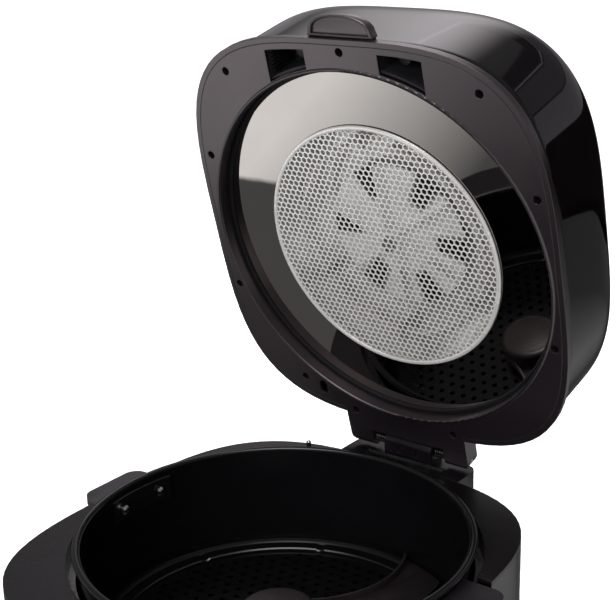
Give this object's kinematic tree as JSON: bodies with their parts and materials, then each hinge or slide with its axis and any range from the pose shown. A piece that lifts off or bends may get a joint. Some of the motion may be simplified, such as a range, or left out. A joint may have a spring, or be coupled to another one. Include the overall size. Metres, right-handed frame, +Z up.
{
  "type": "countertop deep fryer",
  "caption": "Hot-air deep fryer with a deep flip-up lid that holds heater and fan, and a lift-out round pot with a turning paddle.",
  "frame": {"origin": "on the table, at the middle of the footprint with the lid standing open", "axes": "+X to the right as the cook faces it, +Y to the hinge at the back, +Z up"},
  "size_m": [0.346, 0.4458, 0.5471],
  "materials": {
    "gloss_housing": "high-gloss black",
    "matte_shell": "fine matte charcoal",
    "dark_plastic": "moulded black",
    "foot_rubber": "soft black",
    "screw_steel": "bright",
    "liner_metal": "grey enamel",
    "zinc_steel": "zinc plated",
    "motor_steel": "plain",
    "bronze": "sintered",
    "board_green": "solder mask",
    "button_grey": "satin",
    "nylon": "natural",
    "pot_coating": "non-stick coating",
    "rivet_metal": "bright",
    "mirror_steel": "mirror polished",
    "reflector_metal": "bright rolled",
    "element_steel": "annealed sheath",
    "ceramic": "glazed ceramic"
  },
  "bodies": {
    "base": {"housing": "gloss_housing", "deck": "matte_shell", "base_plate": "dark_plastic", "feet": "foot_rubber", "base_screws": "screw_steel", "well_liner": "liner_metal", "motor_bracket": "zinc_steel", "bracket_screws": "screw_steel", "drive_motor": "motor_steel", "shaft_bush": "bronze", "control_panel": "gloss_housing", "control_board": "board_green", "cord_gland": "foot_rubber", "interlock_pin": "screw_steel", "hinge_block": "dark_plastic", "hinge_pin": "screw_steel", "hinge_springs": "screw_steel", "hinge_strip": "zinc_steel", "hinge_screws": "screw_steel"},
    "knob": {"control_knob": "matte_shell"},
    "start": {"start_button": "button_grey"},
    "stop": {"stop_button": "button_grey"},
    "drive": {"drive_shaft": "screw_steel", "drive_gear": "nylon"},
    "pinion": {"drive_pinion": "screw_steel"},
    "pot": {"pot": "pot_coating", "handle_left": "dark_plastic", "handle_right": "dark_plastic", "handle_plates": "pot_coating", "rivets": "rivet_metal", "tray": "pot_coating"},
    "paddle": {"paddle": "dark_plastic", "paddle_cap": "dark_plastic"},
    "lid": {"lid_flange": "matte_shell", "lid_trim": "matte_shell", "lid_shell": "gloss_housing", "lid_top_panel": "gloss_housing", "lift_tab": "matte_shell", "lid_seal": "foot_rubber", "mirror_plate": "mirror_steel", "mesh_ring": "reflector_metal", "mesh_screen": "reflector_metal", "heater_housing": "reflector_metal", "heating_element": "element_steel", "element_clips": "zinc_steel", "terminals": "ceramic", "thermostat": "ceramic", "window_duct_left": "dark_plastic", "window_duct_right": "dark_plastic", "flange_screws": "screw_steel", "interlock_switch": "dark_plastic", "vent_grille": "dark_plastic", "motor_stand": "zinc_steel", "fan_motor": "motor_steel"},
    "fan": {"hot_air_fan": "reflector_metal", "fan_nut": "screw_steel", "fan_shaft": "screw_steel", "cooling_fan": "dark_plastic"}
  },
  "joints": [
    {"name": "lid_hinge", "type": "hinge", "parent": "base", "child": "lid", "pos_m": [0, 0.15179, 0.1896], "axis": [-1, 0, 0], "range_deg": [-75.4, 0], "stiffness_Nm_per_rad": 1.6, "springref_deg": 20.05},
    {"name": "pot_lift", "type": "slide", "parent": "base", "child": "pot", "axis": [0, 0, 1], "range_m": [0, 0.11]},
    {"name": "gear_spin", "type": "hinge", "parent": "base", "child": "drive", "pos_m": [0, -0.02971, 0.0733], "axis": [0, 0, 1], "continuous": true},
    {"name": "pinion_spin", "type": "hinge", "parent": "base", "child": "pinion", "pos_m": [0, 0.01029, 0.0633], "axis": [0, 0, 1], "continuous": true},
    {"name": "paddle_spin", "type": "hinge", "parent": "pot", "child": "paddle", "pos_m": [0, -0.02971, 0.1133], "axis": [0, 0, 1], "continuous": true},
    {"name": "fan_spin", "type": "hinge", "parent": "lid", "child": "fan", "pos_m": [0, 0.12308, 0.36968], "axis": [0, 0.9677, 0.2521], "continuous": true},
    {"name": "knob_turn", "type": "hinge", "parent": "base", "child": "knob", "pos_m": [0, -0.20621, 0.118], "axis": [0, 1, 0], "range_deg": [0, 270]},
    {"name": "start_press", "type": "slide", "parent": "base", "child": "start", "axis": [0, 1, 0], "range_m": [0, 0.0015], "stiffness_N_per_m": 400},
    {"name": "stop_press", "type": "slide", "parent": "base", "child": "stop", "axis": [0, 1, 0], "range_m": [0, 0.0015], "stiffness_N_per_m": 400}
  ],
  "couplings": [
    {"joint": "pinion_spin", "follows": "gear_spin", "ratio": -3},
    {"joint": "paddle_spin", "follows": "gear_spin", "ratio": 1}
  ]
}
